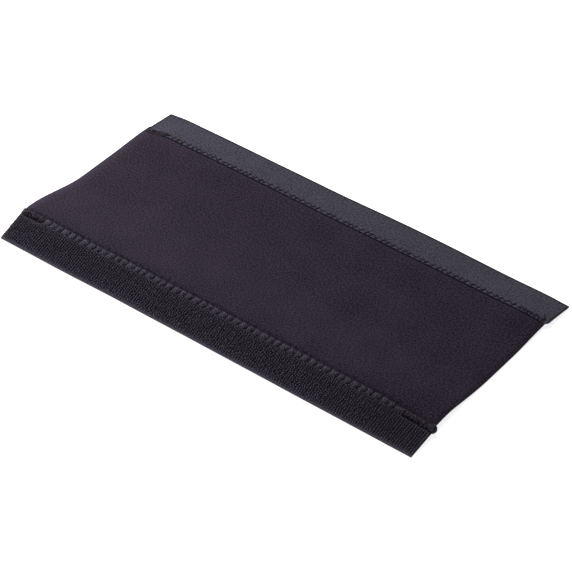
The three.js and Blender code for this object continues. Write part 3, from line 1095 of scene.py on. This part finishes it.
def make_hooks(finish):
    """Rows of hooks across the tape: cut loops of filament, each a hook and a stub."""
    hook = [
        (0, 0, -0.12),
        (0, 0.02, 0.5),
        (0, 0.14, 0.86),
        (0, 0.42, HOOK_HEIGHT - 0.1),
        (0, 0.74, 0.92),
        (0, 0.9, 0.62),
    ]
    stub = [(0.1, 1.06, -0.12), (0.08, 1.03, 0.42)]
    pair = gather(
        (as_mesh(bent_filament(points, FILAMENT_RADIUS), "filament"), Matrix())
        for points in (hook, stub)
    )
    pair = as_mesh(pair, "pair")
    # Each row runs from the selvedge, over which its outermost hooks lean, to the
    # stitches, or to the shadow beside a tack.
    start, end = SELVEDGE_WIDTH - 1.0, HOOK_FIELD_END + 0.5
    step = (end - start) / HOOKS_PER_ROW
    # How unruly the hooks of each kind of row are, and how many there are.
    kinds = {
        "tacked": (1.0, HOOKS_PER_ROW - 1),
        "neat": (1.0, HOOKS_PER_ROW),
        "ruffled": (2.2, HOOKS_PER_ROW),
    }
    rows = {}
    for kind, (spread, count) in kinds.items():
        rows[kind] = []
        for _ in range(ROW_VARIANTS):
            placed = []
            for k in range(count):
                lean = Matrix.Rotation(uneven.gauss(0, 0.11 * spread), 4, "Z")
                tip = Matrix.Rotation(uneven.gauss(0, 0.08 * spread), 4, "Y")
                size = Matrix.Diagonal((1, uneven.uniform(0.92, 1.12), 1, 1))
                grow = Matrix.Diagonal((1, 1, uneven.uniform(0.85, 1.05), 1))
                along = uneven.gauss(0, 0.06 * spread)
                across = (k + 0.1) * step + uneven.gauss(0, 0.06)
                place = Matrix.Translation((along, across, 0))
                placed.append((pair, place @ lean @ tip @ size @ grow))
            rows[kind].append(as_mesh(gather(placed), "row"))
    placed = []
    for k in range(ROW_COUNT):
        x = (k + 0.5) * ROW_SPACING - HALF_LENGTH
        ruffled = (
            RUFFLED_FROM + uneven.gauss(0, 8) < x < RUFFLED_TO + uneven.gauss(0, 3)
        )
        kind = "ruffled" if ruffled else "neat"
        if not HOOK_SEAM.open_start < x < HOOK_SEAM.open_end:
            kind = "tacked"
        slant = Matrix.Rotation(uneven.gauss(0, 0.006), 4, "Z")
        place = Matrix.Translation(
            (x + uneven.gauss(0, 0.04), start + 0.1 + 0.3 * (k % 2), WEB_THICKNESS)
        )
        placed.append((uneven.choice(rows[kind]), place @ slant))
    return place_piece("hook_rows", gather(placed), [finish])


def make_loop_pile(finish):
    """The soft side of the loop tape: fine loops of filament hung under its web."""
    shapes = []
    for _ in range(8):
        half = uneven.uniform(0.35, 0.6)
        depth = uneven.uniform(0.5, 0.62)
        arc = [
            (
                -half * math.cos(math.pi * t),
                uneven.gauss(0, 0.08),
                0.1 - (depth + 0.1) * math.sin(math.pi * t) ** 0.7,
            )
            for t in np.linspace(0, 1, 7)
        ]
        shapes.append(as_mesh(bent_filament(arc, 0.06, 3), "loop"))
    placed = []
    start, left = NEOPRENE_END + 0.8, LOOP_TAPE_INSET - HALF_LENGTH + 0.9
    columns = int((HALF_LENGTH - 0.7 - left) / LOOP_SPACING)
    rows = int((CLOTH_WIDTH - 0.6 - start) / LOOP_SPACING) + 1
    for i in range(columns):
        for k in range(rows):
            x = left + i * LOOP_SPACING + uneven.uniform(-0.4, 0.4)
            y = start + k * LOOP_SPACING + uneven.uniform(-0.4, 0.4)
            turn = Matrix.Rotation(uneven.uniform(0, math.tau), 4, "Z")
            placed.append((uneven.choice(shapes), Matrix.Translation((x, y, 0)) @ turn))
    return place_piece("loop_pile", gather(placed), [finish])


def thread_light_of(points, thread_light):
    """A measure of the painted light on a thread at each of its places."""
    find = nearest_of(points)
    return lambda flat: np.array([thread_light[find(place)[1]] for place in flat])


def make_threads(finish):
    """Needle threads on the tapes and bobbin threads under the neoprene."""
    # The plies stand out beyond this radius.
    radius = THREAD_WIDTH * 0.42
    above, below = WEB_THICKNESS - 0.02, PRESSED_BOTTOM - 0.02
    for side, seam in (("hook", HOOK_SEAM), ("loop", LOOP_SEAM)):
        for kind, thickness, run in (
            ("needle", radius, (above, 0.12, 0.3)),
            ("bobbin", radius * 0.9, (below, -0.08, -0.25, 0)),
        ):
            # Each place along the thread keeps its painted light.
            points, thread_light = seam.path(*run)
            place_piece(
                f"{side}_seam_{kind}_stitches",
                twisted(points, thickness),
                [finish],
                f"{side}_seam_{kind}_thread",
                attributes=[("thread_light", thread_light_of(points, thread_light))],
            )


def make_thread_ends(finish):
    """The knot on the right end of the hook seam, and a loose end on the loop seam."""
    knot = []
    # A round head 4 mm across on the very end, wound on from a thin neck.
    turns, steps, neck = 22, 26, 0.3
    neck_start, neck_length, neck_radius = -6.4, 3.3, 0.7
    head_centre, head_length, head_radius, first_bend = -1.2, 2.1, 2.0, 0.4
    for k in range(turns * steps):
        angle = math.tau * k / steps
        along = k / (turns * steps)
        if along < neck:
            x, thick = neck_start + neck_length * along / neck, neck_radius
        else:
            wound = (math.pi - first_bend) * (along - neck) / (1 - neck)
            bend = first_bend + wound
            x = head_centre - head_length * math.cos(bend)
            thick = 0.1 + head_radius * math.sin(bend)
        swing = 0.12 * math.sin(angle * 0.37) + 0.08 * math.sin(angle * 1.13 + 1)
        knot.append(
            (
                HALF_LENGTH + x + swing,
                HOOK_SEAM.centre + 0.1 + thick * math.cos(angle),
                -0.05 + 0.8 * thick * math.sin(angle) + swing,
            )
        )
    # The loose end arches over the tape, from the seam's last stitch outward.
    loose, places = [], 40
    for k in range(places):
        t = k / (places - 1)
        loose.append(
            (
                HALF_LENGTH - 2.4 - 2.1 * t - 0.5 * t * t,
                LOOP_SEAM.centre + 0.3 + 3.5 * t,
                WEB_THICKNESS + 0.2 + 0.5 * math.sin(math.pi * min(1, t * 1.1)),
            )
        )
    # Each is painted one even level of light: the knot a little paler, the loose end
    # darker.
    for name, points, radius, light_level in (
        ("hook_seam_knot", knot, 0.23, 0.2),
        ("loop_seam_loose_end", loose, 0.24, -0.2),
    ):
        even_thread_light = [("thread_light", lambda flat: np.full(len(flat), light_level))]
        place_piece(
            name, twisted(points, radius), [finish], attributes=even_thread_light
        )


def build_studio():
    """A pale floor out past the picture, a white room and soft light from the left."""
    floor = bmesh.new()
    bmesh.ops.create_grid(floor, x_segments=1, y_segments=1, size=3.0)
    floor = as_mesh(floor, "studio_floor")
    paper, _, _ = new_finish(
        "white_paper_sweep",
        Roughness=0.9,
        Specular_IOR_Level=0.1,
        Base_Color=linear("#f4f4f4"),
        Emission_Color=(1, 1, 1, 1),
        Emission_Strength=0.85,
    )
    floor.materials.append(paper)
    floor = bpy.data.objects.new("studio_floor", floor)
    bpy.context.scene.collection.objects.link(floor)
    room = bpy.data.worlds.new("white_room")
    room.use_nodes = True
    walls = room.node_tree.nodes["Background"]
    walls.inputs["Color"].default_value = (1, 1, 1, 1)
    # The walls are white in the picture but too far off to light the wrap.
    seen = add(room.node_tree, "LightPath").outputs["Is Camera Ray"]
    room.node_tree.links.new(seen, walls.inputs["Strength"])
    bpy.context.scene.world = room
    bpy.context.scene.view_settings.view_transform = "Standard"
    add_softbox("left_softbox", (-0.60, 0.10, 0.22), 0.3, 3.8)
    add_softbox("back_strip", (0.0, 0.75, 0.25), 0.5, 0.9)
    add_softbox("overhead_softbox", (-0.16, 0.0, 0.88), 0.6, 4.0)


set_camera()
build_studio()

knit = knit_faced_neoprene()
foam = cut_foam_edge()
edge = sealed_tape_edge()
thread = twisted_polyester_thread()

neoprene = make_neoprene([knit, foam])
hook_web = make_hook_web([woven_hook_web(), edge])
hooks = make_hooks(nylon_monofilament())
loop_web = make_loop_web([satin_woven_back(), edge])
pile = make_loop_pile(napped_loop_pile())
make_threads(thread)
make_thread_ends(thread)
